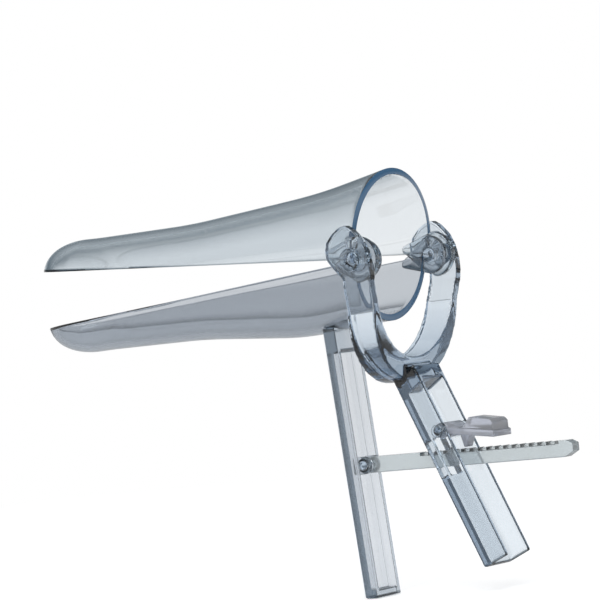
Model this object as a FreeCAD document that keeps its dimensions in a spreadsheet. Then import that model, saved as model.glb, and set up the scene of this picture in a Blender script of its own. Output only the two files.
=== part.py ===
import FreeCAD, Part
import math
import os

import Sketcher
from FreeCAD import Vector

# A clear moulded bivalve speculum. Millimetres and degrees. The hinge axis is the Y axis through
# the origin, the blades reach along -X, the two handles hang along -Z, and +X is the user's side.
# The blades are drawn part open, each turned from the horizontal by blade_tilt.

SIZES = [
    ("wall", 2.0, "wall of both blades"),
    ("blade_tilt", 4.0, "each blade's parting edge, from the horizontal"),
    ("parting_gap", 0.1, "each parting edge stands off the plane through the hinge"),
    ("skirt", 1.2, "loft drawn past the parting edge and trimmed off"),
    ("rim_x", -2.0, "both rims, at the height of the hinge"),
    ("rim_tilt", 7.0, "rims and ring lean back at the top"),
    ("rim_spare", 4.5, "loft drawn past the rim and cut off"),
    ("flare_x", -9.0, "station where the mouth starts to flare"),
    ("throat_x", -37.0, "station at the narrow throat"),
    ("mid_x", -76.0, "station half way along the blades"),
    ("fore_x", -119.0, "station where the nose starts"),
    ("nose", 17.0, "length of the rounded nose"),
    ("rim_nest", 0.5, "side gap between the lower rim and the upper one round it"),
    ("lower_rim_deep", 19.2, "lower blade's depth at its rim"),
    ("lower_flare_deep", 18.9, "lower blade's depth at the flare"),
    ("upper_rim_half", 22.0, "upper blade's half width at its rim and flare"),
    ("upper_rim_high", 28.4, "upper blade's height at its rim"),
    ("upper_flare_high", 25.4, "upper blade's height at the flare"),
    ("throat_half", 18.0, "half width of either blade at the throat"),
    ("throat_deep", 19.0, "depth of either blade at the throat"),
    ("mid_half", 15.0, "half width of either blade at mid length"),
    ("mid_deep", 13.2, "depth of either blade at mid length"),
    ("fore_half", 14.6, "half width of either blade at the nose"),
    ("fore_deep", 10.0, "depth of either blade at the nose"),
    ("ear_gap", 0.2, "side gap between neighbours on the hinge"),
    ("ear_radius", 6.0, "lower blade's ears"),
    ("cheek_radius", 7.0, "upper blade's ears"),
    ("cheek_inset", 0.35, "upper ears start inside the wall"),
    ("cheek_thick", 2.3, "side thickness of the upper blade's ears"),
    ("pin_radius", 2.0, "hinge pins"),
    ("pin_play", 0.05, "radial play of every pin"),
    ("pin_head_radius", 3.6, "hinge pin heads"),
    ("pin_head", 1.0, "thickness of the hinge pin heads"),
    ("arm_thick", 3.2, "side thickness of the yoke's arms"),
    ("key_half", 1.8, "half length of the key that joins upper blade and yoke"),
    ("key_low", 3.4, "lower edge of the key, above the hinge"),
    ("key_high", 6.4, "upper edge of the key, above the hinge"),
    ("key_deep", 1.4, "key, out of the upper blade's ear"),
    ("ring_front", -3.0, "front face of the yoke's ring"),
    ("ring_rear", 7.0, "rear face of the yoke's ring"),
    ("head_high", 10.4, "top of the yoke's arms, above the hinge"),
    ("window_shoulder", -8.0, "height where the window starts to narrow"),
    ("window_spring", -15.0, "height where the window's round bottom starts"),
    ("window_half", 20.6, "half width of the window there"),
    ("window_bottom", -31.0, "lowest point of the window"),
    ("ring_half", 23.8, "half width of the ring at the same height"),
    ("ring_bottom", -38.5, "lowest point of the ring"),
    ("stem_bend_x", -2.2, "place where the stem's front face bends back"),
    ("stem_bend_z", -37.0, "height of that place"),
    ("stem_lean", 23.4, "stem, from the vertical"),
    ("stem_half", 7.5, "half width of the rear handle"),
    ("stem_depth", 9.0, "depth of the rear handle's channel"),
    ("stem_long", 65.0, "stem, from the bend to its end"),
    ("web", 2.2, "front web of the channel"),
    ("flange", 1.9, "side flanges of the channel"),
    ("channel_start", 6.0, "channel, from the bend"),
    ("handle_front", -27.5, "front handle's front face, carried up to the hinge's height"),
    ("handle_lean", 3.5, "front handle, from the vertical"),
    ("handle_deep", 4.6, "depth of the front handle's trough"),
    ("handle_half", 6.8, "half width of the front handle"),
    ("handle_wall", 1.9, "walls of the front handle"),
    ("handle_top", -12.0, "top of the handle before the blade is hollowed"),
    ("trough_top", -27.0, "top of the handle's trough"),
    ("foot_z", -104.0, "flat lower end of the front handle"),
    ("foot_thick", 2.4, "plate that closes the trough's lower end"),
    ("bar_pivot_x", -18.4, "ratchet bar's pivot"),
    ("bar_pivot_z", -63.0, "ratchet bar's pivot"),
    ("bar_half", 2.0, "half width of the ratchet bar"),
    ("bar_high", 5.0, "height of the ratchet bar"),
    ("bar_long", 74.0, "ratchet bar, from pivot to tip"),
    ("bar_pin_radius", 1.3, "ratchet bar's pin"),
    ("tooth_pitch", 3.0, "ratchet teeth"),
    ("tooth_deep", 1.1, "ratchet teeth"),
    ("tooth_start", 20.0, "first tooth, from the pivot"),
    ("lug_radius", 2.7, "lugs that carry the bar's pin"),
    ("lug_thick", 1.6, "lugs that carry the bar's pin"),
    ("lug_gap", 0.15, "side gap between bar and lug"),
    ("slot_half", 3.0, "half width of the stem's window for the bar"),
    ("slot_long", 6.2, "half length of that window, along the stem"),
    ("slot_down", 28.3, "middle of that window, down the stem"),
    ("latch_half", 5.2, "half width of the release latch"),
    ("latch_thick", 2.0, "plate of the release latch"),
    ("latch_pin_radius", 1.2, "pin of the release latch"),
    ("latch_eye", 2.4, "eye of the release latch"),
    ("latch_down", 21.7, "latch pin, down the stem from the bend"),
    ("latch_back", 6.6, "latch pin, behind the stem's front face"),
    ("latch_long", 18.3, "release latch, behind its pin"),
    ("latch_fall", 2.3, "release latch, drop of its rear end"),
    ("pawl_x", 5.8, "pawl, behind the latch pin"),
    ("pawl_z", -60.0, "height of the pawl's edge"),
    ("pad_start", 6.0, "thumb pad, behind the latch pin"),
    ("pad_high", 3.6, "thumb pad on the latch"),
    ("pad_half", 4.6, "half width of the thumb pad"),
]

doc = FreeCAD.newDocument("speculum")
sheet = doc.addObject("Spreadsheet::Sheet", "Sizes")


class Size:
    """A length or angle: the sheet's expression for it, and the number that it gives."""

    def __init__(self, text, number):
        self.text = text
        self.number = number

    def joined(self, other, sign, number):
        return Size(f"({self.text} {sign} {size(other).text})", number)

    def __add__(self, other):
        return self.joined(other, "+", self.number + size(other).number)

    def __sub__(self, other):
        return self.joined(other, "-", self.number - size(other).number)

    def __mul__(self, other):
        return self.joined(other, "*", self.number * size(other).number)

    def __truediv__(self, other):
        return self.joined(other, "/", self.number / size(other).number)

    def __neg__(self):
        return Size(f"(0 - {self.text})", -self.number)


def size(value):
    return value if isinstance(value, Size) else Size(f"({float(value):.6f})", float(value))


def root(value):
    return Size(f"sqrt({value.text})", math.sqrt(value.number))


def tangent(angle):
    return Size(f"tan({angle.text})", math.tan(math.radians(angle.number)))


def cosine(angle):
    return Size(f"cos({angle.text})", math.cos(math.radians(angle.number)))


def sine(angle):
    return Size(f"sin({angle.text})", math.sin(math.radians(angle.number)))


class Sheet:
    """The driving sizes, one attribute for each cell's alias."""


s = Sheet()
for row, (alias, value, note) in enumerate(SIZES, start=1):
    sheet.set(f"A{row}", note)
    sheet.set(f"B{row}", str(value))
    sheet.setAlias(f"B{row}", alias)
    setattr(s, alias, Size(f"Sizes.{alias}", value))
doc.recompute()


def new_body(name):
    body = doc.addObject("PartDesign::Body", name)
    body.Label = name
    return body


def sketch_on(body, name, role, offset=0.0):
    """A sketch on one of the body's origin planes, moved by offset along the plane's normal."""
    plane = next(f for f in body.Origin.OriginFeatures if f.Role == role)
    sketch = body.newObject("Sketcher::SketchObject", name)
    sketch.AttachmentSupport = [(plane, "")]
    sketch.MapMode = "FlatFace"
    sketch.setExpression("AttachmentOffset.Base.z", size(offset).text)
    return sketch


def bind(sketch, kind, places, value):
    """Adds a dimension to the sketch and ties it to the sheet."""
    number = value.number if kind != "Radius" else abs(value.number)
    index = sketch.addConstraint(Sketcher.Constraint(kind, *places, number))
    sketch.setExpression(f"Constraints[{index}]", value.text)


def pin_point(sketch, geometry, position, x, y):
    bind(sketch, "DistanceX", (-1, 1, geometry, position), size(x))
    bind(sketch, "DistanceY", (-1, 1, geometry, position), size(y))


def outline(sketch, corners):
    """A closed outline. A corner is (x, y), or (x, y, radius, bulge) where the edge that leaves it
    is an arc of that radius, bulging to the left (1) or to the right (-1) of its chord. Without a
    radius the arc is a half round, on a chord that lies along one of the sketch's axes."""
    edges = []
    points = [Vector(size(c[0]).number, size(c[1]).number, 0) for c in corners]
    for i, corner in enumerate(corners):
        start, end = points[i], points[(i + 1) % len(points)]
        if len(corner) == 2:
            edges.append(sketch.addGeometry(Part.LineSegment(start, end), False))
            continue
        bulge = corner[3]
        chord = end - start
        radius = size(corner[2]).number if corner[2] else chord.Length / 2
        left = Vector(-chord.y, chord.x, 0).normalize()
        depth = radius - math.sqrt(max(radius ** 2 - chord.Length ** 2 / 4, 0.0))
        middle = (start + end) * 0.5 + left * (bulge * depth)
        edges.append(sketch.addGeometry(Part.Arc(start, middle, end), False))
    for i, corner in enumerate(corners):
        # an arc that runs clockwise is kept the other way round, so its ends swap
        first = 2 if len(corner) > 2 and corner[3] > 0 else 1
        before = corners[i - 1]
        last = 1 if len(before) > 2 and before[3] > 0 else 2
        sketch.addConstraint(Sketcher.Constraint("Coincident", edges[i - 1], last, edges[i], first))
        pin_point(sketch, edges[i], first, corner[0], corner[1])
        if len(corner) > 2 and corner[2]:
            bind(sketch, "Radius", (edges[i],), size(corner[2]))
        elif len(corner) > 2:
            upright = abs(points[i].x - points[(i + 1) % len(points)].x) < 1e-6
            kind, level = ("DistanceX", corner[0]) if upright else ("DistanceY", corner[1])
            bind(sketch, kind, (-1, 1, edges[i], 3), size(level))
    return edges


def circle(sketch, x, y, radius):
    centre = Vector(size(x).number, size(y).number, 0)
    ring = sketch.addGeometry(Part.Circle(centre, Vector(0, 0, 1), size(radius).number), False)
    pin_point(sketch, ring, 3, x, y)
    bind(sketch, "Radius", (ring,), size(radius))


def feature(body, kind, name, sketch, length=None, both=False, flip=False, through=False):
    """A Pad or Pocket of a sketch. It has to change the body's volume."""
    before = body.Shape.Volume if body.Tip else 0.0
    made = body.newObject(f"PartDesign::{kind}", name)
    made.Profile = sketch
    made.Midplane = both
    made.Reversed = flip
    if through:
        made.Type = "ThroughAll"
    else:
        made.setExpression("Length", size(length).text)
    doc.recompute()
    change = made.Shape.Volume - before
    if abs(change) < 1e-3:
        raise RuntimeError(f"{name} changes nothing")
    return made


def arch(body, name, station, half, high, base, side, trim):
    """One section of a blade: a round arch on a short skirt. side is 1 for an arch that stands up."""
    sketch = sketch_on(body, name, "YZ_Plane", station)
    radius = (half * half + high * high) / (high * 2)
    inner = radius - trim
    centre = high - radius
    inner_half = root(inner * inner - centre * centre)
    foot = base - s.skirt * side
    corners = [(-inner_half, foot), (inner_half, foot), (inner_half, base), (-inner_half, base)]
    points = [Vector(x.number, z.number, 0) for x, z in corners]
    top = Vector(0, (base + (high - trim) * side).number, 0)
    low, right, left = (
        sketch.addGeometry(Part.LineSegment(points[a], points[b]), False)
        for a, b in ((0, 1), (1, 2), (3, 0))
    )
    bow = sketch.addGeometry(Part.Arc(points[2], top, points[3]), False)
    start, end = (1, 2) if side > 0 else (2, 1)
    joined = ((low, 2, right, 1), (right, 2, bow, start), (bow, end, left, 1), (left, 2, low, 1))
    for one, a, two, b in joined:
        sketch.addConstraint(Sketcher.Constraint("Coincident", one, a, two, b))
    pin_point(sketch, low, 1, *corners[0])
    pin_point(sketch, low, 2, *corners[1])
    pin_point(sketch, right, 2, *corners[2])
    pin_point(sketch, left, 1, *corners[3])
    bind(sketch, "Radius", (bow,), inner)
    return sketch


def parting(x, side):
    """Height of a blade's parting edge line at x, through the hinge axis."""
    return size(x) * tangent(s.blade_tilt) * -side


def lower_rim_half():
    """The lower rim's half width: it nests inside the upper rim."""
    return s.upper_rim_half - s.wall - s.rim_nest


def arm_inside():
    """Inner face of the yoke's arms, from the middle plane: a gap outside the upper blade's ears."""
    return s.upper_rim_half - s.wall + s.cheek_inset + s.cheek_thick + s.ear_gap


def closer(stations):
    """Adds stations along the flare, where the widths open in a hollow curve towards the mouth."""
    steps = 5
    out = []
    for near, far in zip(stations, stations[1:]):
        out.append(near)
        if near[0] == "flare":
            for step in range(1, steps):
                share = step / steps
                bend = share * (1.4 - 0.4 * share)
                x = near[1] + (far[1] - near[1]) * share
                half, high = (a + (b - a) * bend for a, b in zip(near[2:], far[2:]))
                out.append((f"flare_{step}", x, half, high))
    return out + [stations[-1]]


def blade_loft(body, kind, name, side, stations, trim):
    """Lofts a blade's outside (trim 0) or its hollow (trim is the wall) through its sections."""
    trim = size(trim)
    sections = []
    if trim.number > 0:
        # the hollow starts a little past the loft's own end, so that it is open there
        first = stations[0]
        stations = [(first[0], first[1] + 1.5, *first[2:])] + stations[1:]
    for label, x, half, high in closer(stations):
        base = parting(x, side)
        sections.append(arch(body, f"{name}_{label}", x, half, high, base, side, trim))
    x, half, high = stations[-1][1:]
    for share in (0.3, 0.54, 0.72, 0.86, 0.95, 0.99):
        scale = math.sqrt(1 - share ** 2)
        tip = x - (s.nose - trim) * share
        narrow = (half - trim) * scale + trim
        shallow = (high - trim) * scale + trim
        label = f"{name}_nose_{round(share * 1000)}"
        sections.append(arch(body, label, tip, narrow, shallow, parting(tip, side), side, trim))
    made = body.newObject(f"PartDesign::{kind}", name)
    made.Profile = sections[0]
    made.Sections = sections[1:]
    made.Ruled = True
    doc.recompute()
    if not made.Shape.isValid():
        raise RuntimeError(f"{name} is not valid")
    return made


def trim_parting(body, side):
    """Cuts the skirt off along the parting edge, which stands off the hinge by parting_gap."""
    sketch = sketch_on(body, "parting_line", "XZ_Plane")
    left, right = s.fore_x - s.nose - 4, s.cheek_radius
    gap, deep = s.parting_gap * side, s.skirt * (side * 3)
    outline(
        sketch,
        [
            (left, parting(left, side) + gap),
            (right, parting(right, side) + gap),
            (right, parting(right, side) + gap - deep),
            (left, parting(left, side) + gap - deep),
        ],
    )
    feature(body, "Pocket", "parting_cut", sketch, both=True, through=True)


def trim_rim(body, side):
    """Cuts the loft's spare mouth off along the leaning plane of the rim."""
    sketch = sketch_on(body, "rim_line", "XZ_Plane")
    lean = tangent(s.rim_tilt)
    high, low = s.upper_rim_high * (side * 1.3), -s.cheek_radius * side
    corners = [
        (s.rim_x + low * lean, low),
        (s.rim_x + 15, low),
        (s.rim_x + 15, high),
        (s.rim_x + high * lean, high),
    ]
    outline(sketch, corners)
    feature(body, "Pocket", "rim_cut", sketch, both=True, through=True)


def mirrored(body, name, originals):
    """Repeats features on the other side of the XZ plane."""
    made = body.newObject("PartDesign::Mirrored", name)
    plane = next(f for f in body.Origin.OriginFeatures if f.Role == "XZ_Plane")
    made.Originals = originals
    made.MirrorPlane = (plane, [""])
    body.Tip = made
    doc.recompute()
    return made


def cross_hole(body, name, x, z, radius):
    """A round hole along Y, through the whole body."""
    sketch = sketch_on(body, f"{name}_circle", "XZ_Plane")
    circle(sketch, x, z, radius)
    feature(body, "Pocket", name, sketch, both=True, through=True)


def handle_point(z, back):
    """A point of the front handle's side view, at height z and back behind its front face."""
    z, back = size(z), size(back)
    return s.handle_front - z * tangent(s.handle_lean) + back, z


def lower_blade():
    """The lower blade and front handle, one moulding: a trough with a round nose, two ears on the
    hinge, and a handle of trough section that hangs from the blade's underside."""
    body = new_body("lower_blade")
    stations = [
        ("rim", s.rim_x + s.rim_spare, lower_rim_half(), s.lower_rim_deep),
        ("flare", s.flare_x, lower_rim_half(), s.lower_flare_deep),
        ("throat", s.throat_x, s.throat_half, s.throat_deep),
        ("mid", s.mid_x, s.mid_half, s.mid_deep),
        ("fore", s.fore_x, s.fore_half, s.fore_deep),
    ]
    blade_loft(body, "AdditiveLoft", "blade", -1, stations, 0.0)

    # handle: a bar from inside the blade down to the foot, then the blade's hollow through both
    side = sketch_on(body, "handle_side", "XZ_Plane")
    outline(
        side,
        [
            handle_point(s.handle_top, 0),
            handle_point(s.foot_z, 0),
            handle_point(s.foot_z, s.handle_deep),
            handle_point(s.handle_top, s.handle_deep),
        ],
    )
    feature(body, "Pad", "handle", side, s.handle_half * 2, both=True)
    blade_loft(body, "SubtractiveLoft", "hollow", -1, stations, s.wall)
    trim_parting(body, -1)
    trim_rim(body, -1)

    # trough: cut into the handle from the rear, closed above by the blade and below by the foot
    trough = sketch_on(body, "trough_side", "XZ_Plane")
    outline(
        trough,
        [
            handle_point(s.trough_top, s.handle_wall),
            handle_point(s.foot_z + s.foot_thick, s.handle_wall),
            handle_point(s.foot_z + s.foot_thick, s.handle_deep + 2),
            handle_point(s.trough_top, s.handle_deep + 2),
        ],
    )
    feature(body, "Pocket", "trough", trough, (s.handle_half - s.handle_wall) * 2, both=True)

    # lugs for the ratchet bar's pin stand on the trough's floor
    lug = sketch_on(body, "lug_outline", "XZ_Plane", s.bar_half + s.lug_gap)
    floor = handle_point(s.bar_pivot_z, s.handle_wall - 0.5)[0]
    outline(
        lug,
        [
            (floor, s.bar_pivot_z - s.lug_radius),
            (s.bar_pivot_x, s.bar_pivot_z - s.lug_radius, None, -1),
            (s.bar_pivot_x, s.bar_pivot_z + s.lug_radius),
            (floor, s.bar_pivot_z + s.lug_radius),
        ],
    )
    lugs = feature(body, "Pad", "lug", lug, s.lug_thick)
    mirrored(body, "lug_pair", [lugs])

    # ears: each rises from the parting edge to a round end about the hinge
    ear = sketch_on(body, "ear_outline", "XZ_Plane", lower_rim_half() - s.wall)
    back = s.flare_x + 2
    outline(
        ear,
        [
            (back, parting(back, -1) - s.ear_radius),
            (0, -s.ear_radius, None, -1),
            (0, s.ear_radius),
            (back, parting(back, -1) - 1.3),
        ],
    )
    ears = feature(body, "Pad", "ear", ear, s.wall)
    mirrored(body, "ear_pair", [ears])
    cross_hole(body, "hinge_hole", 0, 0, s.pin_radius + s.pin_play)
    cross_hole(body, "bar_pin_hole", s.bar_pivot_x, s.bar_pivot_z, s.bar_pin_radius + s.pin_play)
    return body


def upper_blade():
    """The upper blade: an arch with a wide mouth, outer ears that straddle the lower blade's ears,
    and a key on each ear that locks the blade to the yoke."""
    body = new_body("upper_blade")
    stations = [
        ("rim", s.rim_x + s.rim_spare, s.upper_rim_half, s.upper_rim_high),
        ("flare", s.flare_x, s.upper_rim_half, s.upper_flare_high),
        ("throat", s.throat_x, s.throat_half, s.throat_deep),
        ("mid", s.mid_x, s.mid_half, s.mid_deep),
        ("fore", s.fore_x, s.fore_half, s.fore_deep),
    ]
    blade_loft(body, "AdditiveLoft", "blade", 1, stations, 0.0)
    blade_loft(body, "SubtractiveLoft", "hollow", 1, stations, s.wall)
    trim_parting(body, 1)
    trim_rim(body, 1)

    ear = sketch_on(body, "ear_outline", "XZ_Plane", s.upper_rim_half - s.wall + s.cheek_inset)
    back = s.flare_x + 2
    outline(
        ear,
        [
            (back, parting(back, 1) + 1.3),
            (0, -s.cheek_radius, None, -1),
            (0, s.cheek_radius),
            (back, parting(back, 1) + s.cheek_radius),
        ],
    )
    ears = feature(body, "Pad", "ear", ear, s.cheek_thick)
    mirrored(body, "ear_pair", [ears])

    key = sketch_on(body, "key_outline", "XZ_Plane", arm_inside() - s.ear_gap - 0.2)
    half = s.key_half
    outline(key, [(-half, s.key_low), (half, s.key_low), (half, s.key_high), (-half, s.key_high)])
    keys = feature(body, "Pad", "key", key, s.key_deep + 0.2)
    mirrored(body, "key_pair", [keys])
    cross_hole(body, "hinge_hole", 0, 0, s.pin_radius + s.pin_play)
    return body


def stem_point(down, back):
    """A point of the rear handle's side view, from the bend of its front face."""
    down, back = size(down), size(back)
    lean = s.stem_lean
    x = s.stem_bend_x + down * sine(lean) + back * cosine(lean)
    z = s.stem_bend_z - down * cosine(lean) + back * sine(lean)
    return x, z


def ring_point(x, z):
    """A point of the ring's side view, turned about the hinge by the lean of the rims."""
    x, z = size(x), size(z)
    turn = s.rim_tilt
    return x * cosine(turn) + z * sine(turn), z * cosine(turn) - x * sine(turn)


def yoke_lever():
    """The yoke and rear handle, one moulding: two arms on the hinge, a ring that runs round the
    lower rim, and a stem of channel section, open to the rear, that leans back from the ring."""
    body = new_body("yoke_lever")
    inner = arm_inside()
    reach = inner + s.arm_thick

    # arms and ring: the side view across the whole width, then cut to the front view. The arms'
    # round heads are drawn in shares of their height above the hinge.
    side = sketch_on(body, "ring_side", "XZ_Plane")
    front, rear, head = s.ring_front, s.ring_rear, s.head_high
    crown = [(0.62, -0.06), (0.51, 0.29), (0.31, 0.62), (0.02, 0.88), (-0.21, 1.0), (-0.42, 0.95)]
    crown += [(-0.69, 0.73), (-0.87, 0.47), (-0.91, 0.21), (-0.85, -0.04), (-0.63, -0.27)]
    outline(
        side,
        [
            ring_point(front, s.ring_bottom - 2),
            ring_point(rear, s.ring_bottom - 2),
            ring_point(rear, s.window_shoulder * 0.5),
        ]
        + [ring_point(head * x, head * z) for x, z in crown]
        + [ring_point(front, s.window_shoulder * 0.75)],
    )
    feature(body, "Pad", "ring_block", side, reach * 2, both=True)

    outer = sketch_on(body, "ring_outer", "YZ_Plane")
    deep = s.window_spring - s.ring_bottom
    bow = (s.ring_half * s.ring_half + deep * deep) / (deep * 2)
    outline(
        outer,
        [
            (reach, s.window_shoulder),
            (reach, head + 4),
            (-reach, head + 4),
            (-reach, s.window_shoulder),
            (-s.ring_half, s.window_spring, bow, -1),
            (s.ring_half, s.window_spring),
        ],
    )
    wide, low, high = reach * 1.5, s.ring_bottom * 1.3, head * 3
    outline(outer, [(-wide, low), (wide, low), (wide, high), (-wide, high)])
    feature(body, "Pocket", "ring_round", outer, both=True, through=True)

    # stem: a bar of full section that leans back from the ring's bottom
    stem = sketch_on(body, "stem_side", "XZ_Plane")
    outline(
        stem,
        [
            ring_point(front + 0.6, s.ring_bottom + 3.5),
            stem_point(0, 0),
            stem_point(s.stem_long, 0),
            stem_point(s.stem_long, s.stem_depth),
            stem_point(0, s.stem_depth),
            ring_point(rear - 0.6, s.ring_bottom + 5.5),
        ],
    )
    feature(body, "Pad", "stem", stem, s.stem_half * 2, both=True)

    window = sketch_on(body, "window_outline", "YZ_Plane")
    deep = s.window_spring - s.window_bottom
    bow = (s.window_half * s.window_half + deep * deep) / (deep * 2)
    outline(
        window,
        [
            (inner, s.window_shoulder),
            (inner, head * 2),
            (-inner, head * 2),
            (-inner, s.window_shoulder),
            (-s.window_half, s.window_spring, bow, -1),
            (s.window_half, s.window_spring),
        ],
    )
    feature(body, "Pocket", "window", window, both=True, through=True)

    # channel: cut from the stem's rear, between the flanges
    channel = sketch_on(body, "channel_side", "XZ_Plane")
    outline(
        channel,
        [
            stem_point(s.channel_start, s.web),
            stem_point(s.stem_long + 2, s.web),
            stem_point(s.stem_long + 2, s.stem_depth + 2),
            stem_point(s.channel_start - 1.5, s.stem_depth + 2),
        ],
    )
    feature(body, "Pocket", "channel", channel, (s.stem_half - s.flange) * 2, both=True)

    slot = sketch_on(body, "slot_side", "XZ_Plane")
    outline(
        slot,
        [
            stem_point(s.slot_down - s.slot_long, -2),
            stem_point(s.slot_down + s.slot_long, -2),
            stem_point(s.slot_down + s.slot_long, s.web + 1),
            stem_point(s.slot_down - s.slot_long, s.web + 1),
        ],
    )
    feature(body, "Pocket", "slot", slot, s.slot_half * 2, both=True)

    # keyways: blind pockets in the arms' inner faces for the upper blade's keys
    play = 0.1
    key = sketch_on(body, "keyway_outline", "XZ_Plane", inner - 0.5)
    half, low, high = s.key_half + play, s.key_low - play, s.key_high + play
    outline(key, [(-half, low), (half, low), (half, high), (-half, high)])
    way = feature(body, "Pocket", "keyway", key, s.key_deep + 0.5, flip=True)
    mirrored(body, "keyway_pair", [way])
    cross_hole(body, "hinge_hole", 0, 0, s.pin_radius + s.pin_play)
    cross_hole(body, "latch_hole", *stem_point(s.latch_down, s.latch_back), s.latch_pin_radius + s.pin_play)
    return body


def turned_pin(name, x, z, start, length, radius, head_radius, head, heads):
    """A pin along -Y from start, with a head past its far end, or with one at each end."""
    body = new_body(name)
    shank = sketch_on(body, "shank_circle", "XZ_Plane", start)
    circle(shank, x, z, radius)
    feature(body, "Pad", "shank", shank, length)
    cap = sketch_on(body, "head_circle", "XZ_Plane", size(start) + length)
    circle(cap, x, z, head_radius)
    feature(body, "Pad", "head", cap, head)
    if heads == 2:
        rivet = sketch_on(body, "rivet_circle", "XZ_Plane", start)
        circle(rivet, x, z, head_radius)
        feature(body, "Pad", "rivet", rivet, head, flip=True)
    return body


def hinge_pins():
    """Two short pins, one through each side of the hinge, with their heads outside the yoke. The
    second is the first one turned end for end."""
    start = lower_rim_half() - s.wall
    reach = arm_inside() + s.arm_thick
    made = []
    for name in ("hinge_pin_right", "hinge_pin_left"):
        pin = turned_pin(name, 0, 0, start, reach - start, s.pin_radius, s.pin_head_radius, s.pin_head, 1)
        made.append(pin)
    made[1].Placement = FreeCAD.Placement(Vector(0, 0, 0), FreeCAD.Rotation(Vector(0, 0, 1), 180))
    doc.recompute()
    return made


def ratchet_bar():
    """The ratchet bar: a flat bar with a round eye on the front handle's pin and a row of teeth
    along its top, steep on the side of the eye."""
    body = new_body("ratchet_bar")
    side = sketch_on(body, "bar_side", "XZ_Plane")
    x, z = s.bar_pivot_x, s.bar_pivot_z
    half = s.bar_high / 2
    tip = x + s.bar_long
    outline(
        side,
        [
            (x, z - half),
            (tip - 3, z - half),
            (tip, z - half + 1.6),
            (tip, z + half - 1.0),
            (tip - 2, z + half),
            (x, z + half, None, -1),
        ],
    )
    feature(body, "Pad", "bar", side, s.bar_half * 2, both=True)
    tooth = sketch_on(body, "tooth_side", "XZ_Plane")
    first = x + s.tooth_start
    outline(
        tooth,
        [
            (first, z + half - s.tooth_deep),
            (first + s.tooth_pitch - 0.4, z + half + 0.3),
            (first, z + half + 0.3),
        ],
    )
    cut = feature(body, "Pocket", "tooth", tooth, both=True, through=True)
    row = body.newObject("PartDesign::LinearPattern", "teeth")
    row.Originals = [cut]
    axis = next(f for f in body.Origin.OriginFeatures if f.Role == "X_Axis")
    row.Direction = (axis, [""])
    count = int((s.bar_long.number - s.tooth_start.number - 6) / s.tooth_pitch.number)
    row.setExpression("Length", (s.tooth_pitch * (count - 1)).text)
    row.Occurrences = count
    body.Tip = row
    doc.recompute()
    cross_hole(body, "eye", x, z, s.bar_pin_radius + s.pin_play)
    return body


def release_latch():
    """The release latch: a flat plate behind the rear handle, with an eye on its pin, a pawl
    below that rests over the teeth, and a thumb pad on top."""
    body = new_body("release_latch")
    x, z = stem_point(s.latch_down, s.latch_back)
    end, fall = x + s.latch_long, s.latch_fall

    def fallen(along):
        return fall * along / s.latch_long

    plate = sketch_on(body, "plate_side", "XZ_Plane")
    half = s.latch_thick / 2
    outline(
        plate,
        [
            (x, z - half),
            (end, z - half - fall),
            (end, z + half - fall),
            (x, z + half),
        ],
    )
    feature(body, "Pad", "plate", plate, s.latch_half * 2, both=True)
    eye = sketch_on(body, "eye_circle", "XZ_Plane")
    circle(eye, x, z, s.latch_eye)
    feature(body, "Pad", "eye", eye, s.latch_half * 2, both=True)

    pawl = sketch_on(body, "pawl_side", "XZ_Plane")
    outline(
        pawl,
        [
            (x + s.pawl_x - 1.8, z - fallen(s.pawl_x - 1.8)),
            (x + s.pawl_x - 0.5, s.pawl_z),
            (x + s.pawl_x + 0.3, s.pawl_z),
            (x + s.pawl_x + 2.2, z - fallen(s.pawl_x + 2.2)),
        ],
    )
    feature(body, "Pad", "pawl", pawl, s.bar_half * 2, both=True)

    pad = sketch_on(body, "pad_side", "XZ_Plane")
    start = s.pad_start
    top = s.pad_high + half
    outline(
        pad,
        [
            (x + start, z - fallen(start)),
            (end - 0.4, z - fall),
            (end - 0.4, z - fall + top - 1),
            (end - 1.4, z - fall + top),
            (x + start + s.pad_high, z - fallen(start + s.pad_high) + top),
        ],
    )
    feature(body, "Pad", "pad", pad, s.pad_half * 2, both=True)
    cross_hole(body, "pin_hole", x, z, s.latch_pin_radius + s.pin_play)
    return body


def build():
    bodies = [lower_blade(), upper_blade(), yoke_lever()]
    bodies += hinge_pins()
    bodies.append(ratchet_bar())
    reach = s.bar_half + s.lug_gap + s.lug_thick
    bodies.append(
        turned_pin(
            "ratchet_pin", s.bar_pivot_x, s.bar_pivot_z, -reach, reach * 2, s.bar_pin_radius, 2.1, 0.6, 2
        )
    )
    bodies.append(release_latch())
    x, z = stem_point(s.latch_down, s.latch_back)
    reach = s.stem_half
    bodies.append(
        turned_pin("latch_pin", x, z, -reach, reach * 2, s.latch_pin_radius, 2.0, 0.7, 2)
    )
    return bodies


def export(bodies):
    """Writes each body to its own file, after a check that every feature has been worked out."""
    doc.recompute()
    for item in doc.Objects:
        if "Invalid" in item.State or "Error" in item.State:
            raise RuntimeError(f"{item.Label}: {item.State}")
    os.makedirs("parts", exist_ok=True)
    for body in bodies:
        shape = body.Shape
        if shape.isNull() or not shape.isValid() or len(shape.Solids) != 1:
            raise RuntimeError(f"{body.Label} is not one valid solid: {len(shape.Solids)}")
        shape.exportStep(f"parts/{body.Label}.step")


export(build())
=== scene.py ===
import math

import bmesh
import bpy
import numpy as np
from mathutils import Matrix, Vector


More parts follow.
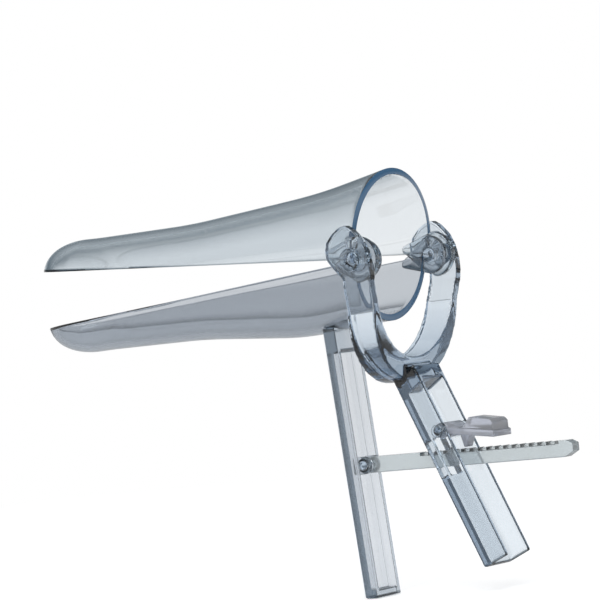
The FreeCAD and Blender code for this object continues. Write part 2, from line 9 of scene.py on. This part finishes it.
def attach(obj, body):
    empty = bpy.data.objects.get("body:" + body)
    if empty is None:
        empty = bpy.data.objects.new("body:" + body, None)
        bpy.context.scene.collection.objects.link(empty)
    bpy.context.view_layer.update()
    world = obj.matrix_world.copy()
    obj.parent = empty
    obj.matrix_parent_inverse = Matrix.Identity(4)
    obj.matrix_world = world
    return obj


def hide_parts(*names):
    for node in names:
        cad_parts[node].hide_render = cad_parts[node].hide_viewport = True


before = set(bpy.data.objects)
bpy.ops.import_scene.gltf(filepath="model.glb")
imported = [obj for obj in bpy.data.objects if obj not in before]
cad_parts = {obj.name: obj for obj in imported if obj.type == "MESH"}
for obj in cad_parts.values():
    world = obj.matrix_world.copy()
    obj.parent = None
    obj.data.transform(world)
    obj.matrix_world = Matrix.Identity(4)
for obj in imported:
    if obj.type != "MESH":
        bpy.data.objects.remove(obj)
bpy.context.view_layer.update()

bpy.context.scene.view_settings.view_transform = "Standard"

# Lower blade: a long trough with a spoon-shaped nose and a 2 mm wall, injection moulded in clear
# polystyrene in one shot with its ears and the front handle. Its edges are rounded so that they
# can't pinch, and its two ears turn on the hinge pins. Sizes are in millimetres and degrees.
WALL = 2.0
BLADE_TILT, RIM_LEAN, PARTING_GAP = 4.0, 7.0, 0.1
PAST_RIM_X, RIM_X, FLARE_X, THROAT_X = 8.0, -2.0, -9.0, -37.0
MIDDLE_X, FORE_X, TIP_X, PAST_TIP_X = -76.0, -119.0, -136.0, -140.0
THROAT_HALF, MIDDLE_HALF, FORE_HALF = 18.0, 15.0, 14.6
THROAT_DEEP, MIDDLE_DEEP, FORE_DEEP = 19.0, 13.2, 10.0
PAST_RIM_RISE = 0.48
FLARE_BEND, FLARE_STEPS = 0.4, 8
EASE = 8.0
STATION_STEP, NOSE_STATIONS, AROUND = 1.5, 24, 72
LOWER_RIM_HALF, LOWER_RIM_DEEP, LOWER_FLARE_DEEP = 19.5, 19.2, 18.9
LOWER_EAR_RADIUS, LOWER_EAR_START, LOWER_EAR_END = 6.0, 17.5, 19.5
LOWER_EAR_ROOT = [(-10, -1.4), (-10, -3.2)]
EAR_EYE, EAR_SOFT = 2.05, 0.5
MOUTH_REACH, MOUTH_FACING = -8.0, 0.6


def clear_plastic(name, tint, depth_tint, density, rough, wave_height, flow=1.0, clear=1.0):
    """Moulded polystyrene: clear, darker where one looks along the wall, a little wavy. A flow
    under 1 draws the waves out along the blades, as the melt ran, and clear under 1 is cloudy."""
    made = bpy.data.materials.new(name)
    made.use_nodes = True
    nodes, wires = made.node_tree.nodes, made.node_tree.links
    skin = nodes["Principled BSDF"]
    skin.inputs["Transmission Weight"].default_value = clear
    skin.inputs["IOR"].default_value = 1.59
    skin.inputs["Roughness"].default_value = rough
    skin.inputs["Base Color"].default_value = (*tint, 1)
    place = nodes.new("ShaderNodeTexCoord")
    run = nodes.new("ShaderNodeMapping")
    run.inputs["Scale"].default_value = (flow, 1.0, 1.0)
    wires.new(place.outputs["Object"], run.inputs["Vector"])
    wave = nodes.new("ShaderNodeTexNoise")
    wave.inputs["Scale"].default_value = 60.0
    wave.inputs["Detail"].default_value = 1.0
    relief = nodes.new("ShaderNodeBump")
    relief.inputs["Strength"].default_value = wave_height
    relief.inputs["Distance"].default_value = 0.0006
    wires.new(run.outputs["Vector"], wave.inputs["Vector"])
    wires.new(wave.outputs["Fac"], relief.inputs["Height"])
    wires.new(relief.outputs["Normal"], skin.inputs["Normal"])
    body = nodes.new("ShaderNodeVolumeAbsorption")
    body.inputs["Color"].default_value = (*depth_tint, 1)
    body.inputs["Density"].default_value = density
    wires.new(body.outputs["Volume"], nodes["Material Output"].inputs["Volume"])
    return made


def placed(name, mesh):
    """An object of a mesh whose points are already where they belong."""
    thing = bpy.data.objects.new(name, mesh)
    bpy.context.collection.objects.link(thing)
    return thing


def soften(piece, width, angle, segments=3, flat_sides=False):
    """Round the edges that turn by more than the angle, as a mould leaves them."""
    soft = piece.modifiers.new("soft edges", "BEVEL")
    soft.width, soft.segments, soft.limit_method = width / 1000, segments, "ANGLE"
    soft.angle_limit = math.radians(angle)
    soft.harden_normals = flat_sides


def baked(thing):
    """The mesh that an object's modifiers make. The object goes."""
    done = thing.evaluated_get(bpy.context.evaluated_depsgraph_get())
    mesh = bpy.data.meshes.new_from_object(done)
    bpy.data.objects.remove(thing)
    return mesh


def eased(points, x):
    """Width or depth at x, straight between the given stations and eased on both sides of each."""
    xs = np.array([p[0] for p in points])[::-1]
    ys = np.array([p[1] for p in points])[::-1]
    spread = np.linspace(-EASE, EASE, 33)
    return float(np.mean(np.interp(x + spread, xs, ys)))


def flare(near, far):
    """Stations of the hollow curve by which the mouth narrows into the throat."""
    shares = [i / FLARE_STEPS for i in range(FLARE_STEPS + 1)]
    return [
        (
            FLARE_X + (THROAT_X - FLARE_X) * share,
            near + (far - near) * share * (1 + FLARE_BEND - FLARE_BEND * share),
        )
        for share in shares
    ]


def blade_sheet(name, side, half_rim, deep_rim, deep_flare, material, rim_material):
    """A blade's wall, from its leaning mouth to its round nose. side is 1 for the upper blade."""
    tilt, lean = math.tan(math.radians(BLADE_TILT)), math.tan(math.radians(RIM_LEAN))
    halves = [(PAST_RIM_X, half_rim)] + flare(half_rim, THROAT_HALF)
    halves += [(MIDDLE_X, MIDDLE_HALF), (FORE_X, FORE_HALF), (PAST_TIP_X, FORE_HALF)]
    past_rim_deep = deep_rim + (deep_rim - deep_flare) * PAST_RIM_RISE
    deeps = [(PAST_RIM_X, past_rim_deep)] + flare(deep_flare, THROAT_DEEP)
    deeps += [(MIDDLE_X, MIDDLE_DEEP), (FORE_X, FORE_DEEP), (PAST_TIP_X, FORE_DEEP)]
    count = round((RIM_X - FORE_X) / STATION_STEP) + 1
    nose = TIP_X - FORE_X
    stations = [RIM_X - i * STATION_STEP for i in range(count)]
    stations += [
        FORE_X + nose * math.sin(math.pi / 2 * i / NOSE_STATIONS) for i in range(1, NOSE_STATIONS)
    ]
    mesh = bpy.data.meshes.new(name)
    verts, faces = [], []
    for x in stations:
        shrink = 1.0 if x >= FORE_X else math.sqrt(max(1 - ((x - FORE_X) / nose) ** 2, 0))
        half, deep = eased(halves, x) * shrink, eased(deeps, x) * shrink
        radius = (half * half + deep * deep) / (2 * deep)
        centre = deep - radius
        sweep = math.atan2(half, -centre) if centre < 0 else math.pi - math.atan2(half, centre)
        base = -x * tilt + PARTING_GAP
        share = min(max((x - THROAT_X) / (RIM_X - THROAT_X), 0), 1)
        for k in range(AROUND + 1):
            turn = -sweep + 2 * sweep * k / AROUND
            y, z = radius * math.sin(turn), base + centre + radius * math.cos(turn)
            verts.append(((x + side * z * lean * share) / 1000, side * y / 1000, side * z / 1000))
    tip = len(verts)
    verts.append((TIP_X / 1000, 0, side * (-TIP_X * tilt + PARTING_GAP) / 1000))
    row = AROUND + 1
    for i in range(len(stations) - 1):
        for k in range(AROUND):
            a, b = i * row + k, (i + 1) * row + k
            faces.append((a, a + 1, b + 1, b))
    edge = (len(stations) - 1) * row
    faces += [(edge + k, edge + k + 1, tip) for k in range(AROUND)]
    mesh.from_pydata(verts, [], faces)
    mesh.update()
    for face in mesh.polygons:
        face.use_smooth = True
    work = bmesh.new()
    work.from_mesh(mesh)
    bmesh.ops.recalc_face_normals(work, faces=work.faces)
    work.faces.ensure_lookup_table()
    middle = work.faces[0].calc_center_median()
    if work.faces[0].normal.dot(middle - Vector((middle.x, 0, 0))) < 0:
        bmesh.ops.reverse_faces(work, faces=work.faces)
    work.to_mesh(mesh)
    work.free()
    mesh.materials.append(material)
    mesh.materials.append(rim_material)
    sheet = placed(name + "_sheet", mesh)
    wall = sheet.modifiers.new("wall", "SOLIDIFY")
    wall.thickness, wall.offset, wall.use_even_offset = WALL / 1000, -1.0, True
    solid = baked(sheet)
    for point in solid.vertices:
        parting = -point.co.x * tilt + PARTING_GAP / 1000
        point.co.z = side * max(side * point.co.z, parting)
    for face in solid.polygons:
        if face.normal.x > MOUTH_FACING and face.center.x > MOUTH_REACH / 1000:
            face.material_index = 1
    blade = placed(name, solid)
    soften(blade, width=0.6, angle=55)
    return blade


def outline_about(centre, corners, count=96):
    """Points of an outline in the XZ plane, one on each of count rays from the centre."""
    found = []
    middle = Vector(centre)
    for i in range(count):
        turn = 2 * math.pi * i / count
        ray = Vector((math.cos(turn), math.sin(turn)))
        best = 0.0
        for a, b in zip(corners, corners[1:] + corners[:1]):
            a, b = Vector(a) - middle, Vector(b) - middle
            edge = b - a
            cross = ray.x * edge.y - ray.y * edge.x
            if abs(cross) < 1e-9:
                continue
            far = (a.x * edge.y - a.y * edge.x) / cross
            along = (a.x * ray.y - a.y * ray.x) / cross
            if -1e-9 <= along <= 1 + 1e-9:
                best = max(best, far)
        found.append(ray * best)
    return found


def eyed_plate(name, centre, radius, root, eye, start, end, edge_width, material):
    """A plate from y = start to end, round about its eye and straight to the two points of its
    root, where it grows out of the blade or the handle."""
    arc = [math.radians(a) for a in np.linspace(-90, 90, 40)]
    corners = [(centre[0] + radius * math.cos(a), centre[1] + radius * math.sin(a)) for a in arc]
    outer = outline_about(centre, corners + root)
    inner = [p.normalized() * eye for p in outer]
    work = bmesh.new()
    loops = []
    for y in (start, end):
        for points in (outer, inner):
            loops.append([
                work.verts.new(((p.x + centre[0]) / 1000, y / 1000, (p.y + centre[1]) / 1000))
                for p in points
            ])
    for one, two in ((0, 1), (1, 3), (3, 2), (2, 0)):
        for i in range(len(outer)):
            j = (i + 1) % len(outer)
            work.faces.new((loops[one][i], loops[one][j], loops[two][j], loops[two][i]))
    bmesh.ops.recalc_face_normals(work, faces=work.faces)
    for face in work.faces:
        face.smooth = True
    mesh = bpy.data.meshes.new(name)
    work.to_mesh(mesh)
    work.free()
    mesh.materials.append(material)
    plate = placed(name, mesh)
    soften(plate, edge_width, angle=40)
    return plate


# Painted shade: the lower blade's polystyrene is the upper blade's own plastic, made greyer and
# denser here to stand in for the shade the lower blade lies in.
lower_shaded_clear = clear_plastic(
    "clear polystyrene, lower blade, painted shade", (0.90, 0.91, 0.93), (0.48, 0.53, 0.58),
    density=420.0, rough=0.03, wave_height=0.22, flow=0.06,
)
rim_clear = clear_plastic(
    "clear polystyrene, blue cut edge", (0.07, 0.20, 0.38), (0.50, 0.60, 0.68),
    density=200.0, rough=0.12, wave_height=0.0, clear=0.35,
)
lower = blade_sheet(
    "lower_blade_shell", -1, LOWER_RIM_HALF, LOWER_RIM_DEEP, LOWER_FLARE_DEEP, lower_shaded_clear,
    rim_clear,
)
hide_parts("lower_blade")
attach(lower, "frame")
for side, name in ((-1, "lower_ear_right"), (1, "lower_ear_left")):
    ear = eyed_plate(
        name, (0, 0), LOWER_EAR_RADIUS, LOWER_EAR_ROOT, EAR_EYE,
        side * LOWER_EAR_START, side * LOWER_EAR_END, EAR_SOFT, lower_shaded_clear,
    )
    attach(ear, "frame")

# Front handle: a trough of the lower blade's own moulding, open at the rear, that the fingers
# pull. It leans back a little, a plate closes its foot, and two lugs on its floor hold the pin
# of the ratchet bar.
HANDLE_FRONT, HANDLE_LEAN = -27.5, math.tan(math.radians(3.5))
HANDLE_TOP, HANDLE_FOOT = -19.3, -104.0
TROUGH_TOP, TROUGH_FOOT = -27.0, -101.6
HANDLE_HALF, HANDLE_DEEP, HANDLE_WALL = 6.8, 4.6, 1.9
BAR_PIVOT, BAR_EYE = (-18.4, -63.0), 1.35
LUG_RADIUS, LUG_START, LUG_END, LUG_SOFT = 2.7, 2.15, 3.75, 0.3
LUG_ROOT = [(-21.6, -60.3), (-21.6, -65.7)]


def handle_ring(half, top, bottom, back):
    """Four corners of a rectangle in a plane of the handle's lean, back from its front face."""
    return [
        ((HANDLE_FRONT - z * HANDLE_LEAN + back) / 1000, y / 1000, z / 1000)
        for y, z in ((-half, top), (half, top), (half, bottom), (-half, bottom))
    ]


handle_clear = clear_plastic(
    "clear polystyrene, front handle", (0.90, 0.91, 0.93), (0.50, 0.57, 0.63),
    density=230.0, rough=0.16, wave_height=0.1,
)
trough_half = HANDLE_HALF - HANDLE_WALL
corners = (
    handle_ring(trough_half, TROUGH_TOP, TROUGH_FOOT, HANDLE_WALL)
    + handle_ring(trough_half, TROUGH_TOP, TROUGH_FOOT, HANDLE_DEEP)
    + handle_ring(HANDLE_HALF, HANDLE_TOP, HANDLE_FOOT, HANDLE_DEEP)
    + handle_ring(HANDLE_HALF, HANDLE_TOP, HANDLE_FOOT, 0.0)
)
walls = [
    (i * 4 + k, i * 4 + (k + 1) % 4, i * 4 + 4 + (k + 1) % 4, i * 4 + 4 + k)
    for i in range(3)
    for k in range(4)
]
trough_floor, front_face = (0, 1, 2, 3), (12, 13, 14, 15)
handle_mesh = bpy.data.meshes.new("front_handle")
handle_mesh.from_pydata(corners, [], walls + [trough_floor, front_face])
work = bmesh.new()
work.from_mesh(handle_mesh)
bmesh.ops.recalc_face_normals(work, faces=work.faces)
for face in work.faces:
    face.smooth = True
work.to_mesh(handle_mesh)
work.free()
handle_mesh.materials.append(handle_clear)
handle = placed("front_handle", handle_mesh)
soften(handle, width=0.7, angle=30, flat_sides=True)
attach(handle, "frame")
for side, name in ((-1, "bar_lug_right"), (1, "bar_lug_left")):
    lug = eyed_plate(
        name, BAR_PIVOT, LUG_RADIUS, LUG_ROOT, BAR_EYE,
        side * LUG_START, side * LUG_END, LUG_SOFT, handle_clear,
    )
    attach(lug, "frame")

# Ratchet pin: a short turned pin of the same plastic, pressed into the lugs and headed over at
# both ends. The ratchet bar swings on it.


def merged_copy(node):
    """A copy of a solid's mesh with its loose triangles joined and its flat faces made whole."""
    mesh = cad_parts[node].data.copy()
    work = bmesh.new()
    work.from_mesh(mesh)
    bmesh.ops.remove_doubles(work, verts=work.verts, dist=0.00001)
    bmesh.ops.dissolve_limit(
        work, angle_limit=math.radians(1), verts=work.verts, edges=work.edges
    )
    work.to_mesh(mesh)
    work.free()
    mesh.materials.clear()
    return mesh


def moulded(node, body, edge_width, material):
    """A copy of a solid with its edges rounded, as a mould leaves them, in place of the solid."""
    mesh = merged_copy(node)
    mesh.materials.append(material)
    piece = placed(node + "_moulded", mesh)
    for face in mesh.polygons:
        face.use_smooth = True
    soften(piece, edge_width, angle=35, segments=2, flat_sides=True)
    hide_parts(node)
    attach(piece, body)


yoke_clear = clear_plastic(
    "clear polystyrene, yoke", (0.89, 0.92, 0.94), (0.56, 0.64, 0.72),
    density=190.0, rough=0.05, wave_height=0.22,
)
moulded("ratchet_pin", "frame", edge_width=0.2, material=yoke_clear)

# Ratchet bar: a flat bar with a round eye on the ratchet pin and a row of teeth along its top,
# steep on the side of the eye. It passes through the window of the rear handle, and the latch
# drops its pawl between the teeth.
BAR_HALF, BAR_HIGH, BAR_LONG = 2.0, 5.0, 74.0
BAR_TIP_BELOW, BAR_TIP_ABOVE = (3.0, 1.6), (2.0, 1.0)
TOOTH_START, TOOTH_PITCH, TOOTH_DEEP, TOOTH_SLOPE, TOOTH_COUNT = 20.0, 3.0, 1.1, 2.04, 16
EYE_CORNERS = 24

bar_clear = clear_plastic(
    "clear polystyrene, ratchet bar", (0.72, 0.77, 0.79), (0.6, 0.7, 0.74),
    density=60.0, rough=0.15, wave_height=0.05, clear=0.75,
)
x, z = BAR_PIVOT
low, high, tip = z - BAR_HIGH / 2, z + BAR_HIGH / 2, x + BAR_LONG
first, last = x + TOOTH_START, x + TOOTH_START + TOOTH_PITCH * TOOTH_COUNT
turns = [math.radians(a) for a in range(90, 271, 10)]
side_view = [(x + BAR_HIGH / 2 * math.cos(a), z + BAR_HIGH / 2 * math.sin(a)) for a in turns]
side_view += [(tip - BAR_TIP_BELOW[0], low), (tip, low + BAR_TIP_BELOW[1])]
side_view += [(tip, high - BAR_TIP_ABOVE[1]), (tip - BAR_TIP_ABOVE[0], high), (last, high)]
side_view += [(last, high - TOOTH_DEEP), (first, high - TOOTH_DEEP), (first, high)]
turns = [i * math.pi * 2 / EYE_CORNERS for i in range(EYE_CORNERS)]
eye = [(x + BAR_EYE * math.cos(a), z + BAR_EYE * math.sin(a)) for a in turns]
work = bmesh.new()
for y in (-BAR_HALF, BAR_HALF):
    edges = []
    for loop in (side_view, eye):
        ring = [work.verts.new((px / 1000, y / 1000, pz / 1000)) for px, pz in loop]
        edges += [work.edges.new((ring[i - 1], ring[i])) for i in range(len(ring))]
    bmesh.ops.triangle_fill(work, use_beauty=True, use_dissolve=True, edges=edges)
work.verts.ensure_lookup_table()
count, half_way = len(side_view), len(side_view) + EYE_CORNERS
for start, length in ((0, count), (count, EYE_CORNERS)):
    for i in range(length):
        a, b = start + (i - 1) % length, start + i
        work.faces.new([work.verts[k] for k in (a, b, b + half_way, a + half_way)])
bmesh.ops.recalc_face_normals(work, faces=work.faces)
bar_mesh = bpy.data.meshes.new("bar_blank")
work.to_mesh(bar_mesh)
work.free()
bar = placed("bar_blank", bar_mesh)

tree = bpy.data.node_groups.new("ratchet teeth", "GeometryNodeTree")
sockets = tree.interface
sockets.new_socket("Geometry", in_out="INPUT", socket_type="NodeSocketGeometry")
for label, kind in (
    ("First Tooth", "NodeSocketVector"),
    ("Pitch", "NodeSocketFloat"),
    ("Tooth Depth", "NodeSocketFloat"),
    ("Slope Length", "NodeSocketFloat"),
    ("Bar Width", "NodeSocketFloat"),
    ("Count", "NodeSocketInt"),
    ("Material", "NodeSocketMaterial"),
):
    sockets.new_socket(label, in_out="INPUT", socket_type=kind)
sockets.new_socket("Geometry", in_out="OUTPUT", socket_type="NodeSocketGeometry")
nodes, wires = tree.nodes, tree.links
inlet, outlet = nodes.new("NodeGroupInput"), nodes.new("NodeGroupOutput")
block_size = nodes.new("ShaderNodeCombineXYZ")
wires.new(inlet.outputs["Pitch"], block_size.inputs["X"])
wires.new(inlet.outputs["Bar Width"], block_size.inputs["Y"])
wires.new(inlet.outputs["Tooth Depth"], block_size.inputs["Z"])
block = nodes.new("GeometryNodeMeshCube")
wires.new(block_size.outputs[0], block.inputs["Size"])
corner = nodes.new("GeometryNodeInputPosition")
part = nodes.new("ShaderNodeSeparateXYZ")
wires.new(corner.outputs[0], part.inputs[0])
is_top = nodes.new("FunctionNodeCompare")
is_top.data_type, is_top.operation = "FLOAT", "GREATER_THAN"
wires.new(part.outputs["Z"], is_top.inputs["A"])
is_near = nodes.new("FunctionNodeCompare")
is_near.data_type, is_near.operation = "FLOAT", "LESS_THAN"
wires.new(part.outputs["X"], is_near.inputs["A"])
both = nodes.new("FunctionNodeBooleanMath")
both.operation = "AND"
wires.new(is_top.outputs[0], both.inputs[0])
wires.new(is_near.outputs[0], both.inputs[1])
push = nodes.new("ShaderNodeCombineXYZ")
wires.new(inlet.outputs["Slope Length"], push.inputs["X"])
wedge = nodes.new("GeometryNodeSetPosition")
wires.new(block.outputs["Mesh"], wedge.inputs["Geometry"])
wires.new(both.outputs[0], wedge.inputs["Selection"])
wires.new(push.outputs[0], wedge.inputs["Offset"])
step = nodes.new("ShaderNodeCombineXYZ")
wires.new(inlet.outputs["Pitch"], step.inputs["X"])
row = nodes.new("GeometryNodeMeshLine")
wires.new(inlet.outputs["Count"], row.inputs["Count"])
wires.new(inlet.outputs["First Tooth"], row.inputs["Start Location"])
wires.new(step.outputs[0], row.inputs["Offset"])
teeth = nodes.new("GeometryNodeInstanceOnPoints")
wires.new(row.outputs["Mesh"], teeth.inputs["Points"])
wires.new(wedge.outputs["Geometry"], teeth.inputs["Instance"])
whole = nodes.new("GeometryNodeJoinGeometry")
wires.new(inlet.outputs["Geometry"], whole.inputs[0])
wires.new(teeth.outputs["Instances"], whole.inputs[0])
real = nodes.new("GeometryNodeRealizeInstances")
wires.new(whole.outputs[0], real.inputs[0])
coat = nodes.new("GeometryNodeSetMaterial")
wires.new(real.outputs[0], coat.inputs["Geometry"])
wires.new(inlet.outputs["Material"], coat.inputs["Material"])
wires.new(coat.outputs[0], outlet.inputs[0])
sizes = {
    "First Tooth": ((first + TOOTH_PITCH / 2) / 1000, 0, (high - TOOTH_DEEP / 2) / 1000),
    "Pitch": TOOTH_PITCH / 1000,
    "Tooth Depth": TOOTH_DEEP / 1000,
    "Slope Length": TOOTH_SLOPE / 1000,
    "Bar Width": BAR_HALF * 2 / 1000,
    "Count": TOOTH_COUNT,
    "Material": bar_clear,
}
cutter = bar.modifiers.new("teeth", "NODES")
cutter.node_group = tree
for socket in sockets.items_tree:
    if socket.in_out == "INPUT" and socket.name in sizes:
        cutter[socket.identifier] = sizes[socket.name]
ratchet_bar = placed("ratchet_bar_toothed", baked(bar))
soften(ratchet_bar, width=0.12, angle=30, segments=2)
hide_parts("ratchet_bar")
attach(ratchet_bar, "ratchet")

# Upper blade: an arch of the same clear moulding whose mouth flares into a high rim, so that one
# can see in past the hand. Its ears straddle the lower blade's ears and are keyed to the yoke.
UPPER_RIM_HALF, UPPER_RIM_HIGH, UPPER_FLARE_HIGH = 22.0, 28.4, 25.4
UPPER_EAR_RADIUS, UPPER_EAR_START, UPPER_EAR_END = 7.0, 20.35, 22.65
UPPER_EAR_ROOT = [(-11, 3.4), (-11, 1.6)]

upper_clear = clear_plastic(
    "clear polystyrene, upper blade", (0.95, 0.96, 0.97), (0.50, 0.60, 0.66),
    density=150.0, rough=0.02, wave_height=0.22, flow=0.06,
)
upper = blade_sheet(
    "upper_blade_shell", 1, UPPER_RIM_HALF, UPPER_RIM_HIGH, UPPER_FLARE_HIGH, upper_clear,
    rim_clear,
)
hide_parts("upper_blade")
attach(upper, "lever")
for side, name in ((-1, "upper_ear_right"), (1, "upper_ear_left")):
    ear = eyed_plate(
        name, (0, 0), UPPER_EAR_RADIUS, UPPER_EAR_ROOT, EAR_EYE,
        side * UPPER_EAR_START, side * UPPER_EAR_END, EAR_SOFT, upper_clear,
    )
    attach(ear, "lever")

# Yoke and rear handle: one thick moulding whose two arms hold the upper blade at the hinge. The
# arms run down into a ring round the lower blade's mouth, and a stem of channel section leans
# back from the ring for the thumb and palm.
GRAIN, SMOOTH_PASSES = 0.42, 10

core = placed("yoke_core", merged_copy("yoke_lever"))
grain = core.modifiers.new("grain", "REMESH")
grain.mode, grain.voxel_size, grain.use_smooth_shade = "VOXEL", GRAIN / 1000, True
cling = core.modifiers.new("cling", "SHRINKWRAP")
cling.target, cling.wrap_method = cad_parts["yoke_lever"], "NEAREST_SURFACEPOINT"
even = core.modifiers.new("even", "SMOOTH")
even.factor, even.iterations = 0.5, SMOOTH_PASSES
yoke_mesh = baked(core)
yoke_mesh.materials.append(yoke_clear)
yoke = placed("yoke_lever_moulded", yoke_mesh)
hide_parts("yoke_lever")
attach(yoke, "lever")

# Hinge pins: two headed pins of the same plastic, one pushed in from each side through the yoke's
# arm and both blades' ears.
for node in ("hinge_pin_right", "hinge_pin_left"):
    moulded(node, "lever", edge_width=0.6, material=yoke_clear)

# Release latch: a small lever on a pin between the stem's flanges. Its pawl hangs over the teeth
# and holds the handles where they were squeezed to, and the thumb lifts it by the raised pad.
moulded("latch_pin", "lever", edge_width=0.2, material=yoke_clear)
latch_clear = clear_plastic(
    "clear polystyrene, latch", (0.74, 0.76, 0.82), (0.66, 0.72, 0.86),
    density=60.0, rough=0.2, wave_height=0.05, clear=0.65,
)
moulded("release_latch", "latch", edge_width=0.5, material=latch_clear)

# Floor: a plain pale sheet of paper under the foot of the front handle. It is lifted to white for
# the camera and for rays through the plastic, as in a light box, and keeps the object's shadow.
FLOOR_Z, FLOOR_REACH = -104.2, 800.0
FLOOR_LIFT = 0.48

floor_mesh = bpy.data.meshes.new("floor")
floor_corners = [
    (x * FLOOR_REACH / 1000, y * FLOOR_REACH / 1000, FLOOR_Z / 1000)
    for x, y in ((-1, -1), (1, -1), (1, 1), (-1, 1))
]
floor_mesh.from_pydata(floor_corners, [], [(0, 1, 2, 3)])
floor = placed("floor", floor_mesh)
pale = bpy.data.materials.new("pale floor")
pale.use_nodes = True
nodes, wires = pale.node_tree.nodes, pale.node_tree.links
paper = nodes["Principled BSDF"]
paper.inputs["Base Color"].default_value = (0.86, 0.87, 0.88, 1)
paper.inputs["Roughness"].default_value = 0.9
paper.inputs["Specular IOR Level"].default_value = 0.0
lift = nodes.new("ShaderNodeEmission")
path = nodes.new("ShaderNodeLightPath")
looked_at = nodes.new("ShaderNodeMath")
looked_at.operation = "ADD"
wires.new(path.outputs["Is Camera Ray"], looked_at.inputs[0])
wires.new(path.outputs["Is Transmission Ray"], looked_at.inputs[1])
amount = nodes.new("ShaderNodeMath")
amount.operation = "MULTIPLY"
amount.inputs[1].default_value = FLOOR_LIFT
wires.new(looked_at.outputs[0], amount.inputs[0])
wires.new(amount.outputs[0], lift.inputs["Strength"])
lit = nodes.new("ShaderNodeAddShader")
wires.new(paper.outputs[0], lit.inputs[0])
wires.new(lift.outputs[0], lit.inputs[1])
wires.new(lit.outputs[0], nodes["Material Output"].inputs["Surface"])
floor_mesh.materials.append(pale)

# Light: a soft surround, white to the camera. Reflections and refractions see a white band at the
# object's height between a grey ceiling and a grey bench, which draws the dark edge lines.
# The bands' places run from 0, straight down, to 1, straight up. The lamp is placed in metres.
WHITE, BENCH = (1, 1, 1, 1), (0.06, 0.08, 0.10, 1)
CEILING, ZENITH = (0.15, 0.19, 0.22, 1), (0.75, 0.78, 0.8, 1)
BANDS = ((0.445, BENCH), (0.475, WHITE), (0.54, WHITE), (0.62, CEILING), (1.0, ZENITH))
SOFT_LIGHT, LAMP_PLACE, LAMP_POWER, LAMP_SIZE = 0.6, (0.3, -0.6, 0.6), 3.0, 0.6

world = bpy.data.worlds.new("studio surround")
bpy.context.scene.world = world
world.use_nodes = True
nodes, wires = world.node_tree.nodes, world.node_tree.links
plain = nodes["Background"]
plain.inputs["Color"].default_value = WHITE
plain.inputs["Strength"].default_value = SOFT_LIGHT
direction = nodes.new("ShaderNodeTexCoord")
height = nodes.new("ShaderNodeSeparateXYZ")
wires.new(direction.outputs["Generated"], height.inputs[0])
level = nodes.new("ShaderNodeMapRange")
level.inputs["From Min"].default_value = -1.0
level.inputs["From Max"].default_value = 1.0
wires.new(height.outputs["Z"], level.inputs["Value"])
tones = nodes.new("ShaderNodeValToRGB")
ramp = tones.color_ramp
for stop, (place, tone) in zip(ramp.elements, BANDS):
    stop.position, stop.color = place, tone
for place, tone in BANDS[2:]:
    ramp.elements.new(place).color = tone
wires.new(level.outputs[0], tones.inputs[0])
reflected = nodes.new("ShaderNodeBackground")
wires.new(tones.outputs[0], reflected.inputs["Color"])
backdrop = nodes.new("ShaderNodeBackground")
backdrop.inputs["Color"].default_value = WHITE
path = nodes.new("ShaderNodeLightPath")
bent = nodes.new("ShaderNodeMath")
bent.operation = "MAXIMUM"
wires.new(path.outputs["Is Glossy Ray"], bent.inputs[0])
wires.new(path.outputs["Is Transmission Ray"], bent.inputs[1])
surround = nodes.new("ShaderNodeMixShader")
wires.new(bent.outputs[0], surround.inputs[0])
wires.new(plain.outputs[0], surround.inputs[1])
wires.new(reflected.outputs[0], surround.inputs[2])
seen = nodes.new("ShaderNodeMixShader")
wires.new(path.outputs["Is Camera Ray"], seen.inputs[0])
wires.new(surround.outputs[0], seen.inputs[1])
wires.new(backdrop.outputs[0], seen.inputs[2])
wires.new(seen.outputs[0], nodes["World Output"].inputs["Surface"])

lamp_data = bpy.data.lights.new("window light", "AREA")
lamp_data.energy, lamp_data.size = LAMP_POWER, LAMP_SIZE
lamp = placed("window light", lamp_data)
lamp.location = LAMP_PLACE
lamp.rotation_mode = "QUATERNION"
lamp.rotation_quaternion = Vector(LAMP_PLACE).to_track_quat("Z", "Y")

# Camera: the photograph's viewing angle, from the user's side and to the right of it, level with
# the hinge and rolled by 6 degrees. Its place is in metres, its axes are unit vectors.
CAMERA_PLACE = (0.54340, -0.83973, -0.02534)
CAMERA_RIGHT = (0.81634, 0.56719, -0.10903)
CAMERA_UP = (0.09837, 0.04948, 0.99392)
CAMERA_BACK = (0.56913, -0.82210, -0.01540)
SENSOR, FOCAL_LENGTH = 36.0, 194.96

lens = bpy.data.cameras.new("camera")
lens.sensor_width, lens.lens = SENSOR, FOCAL_LENGTH
camera = placed("camera", lens)
columns = (CAMERA_RIGHT, CAMERA_UP, CAMERA_BACK, CAMERA_PLACE)
camera.matrix_world = Matrix((*zip(*columns), (0, 0, 0, 1)))
bpy.context.scene.camera = camera
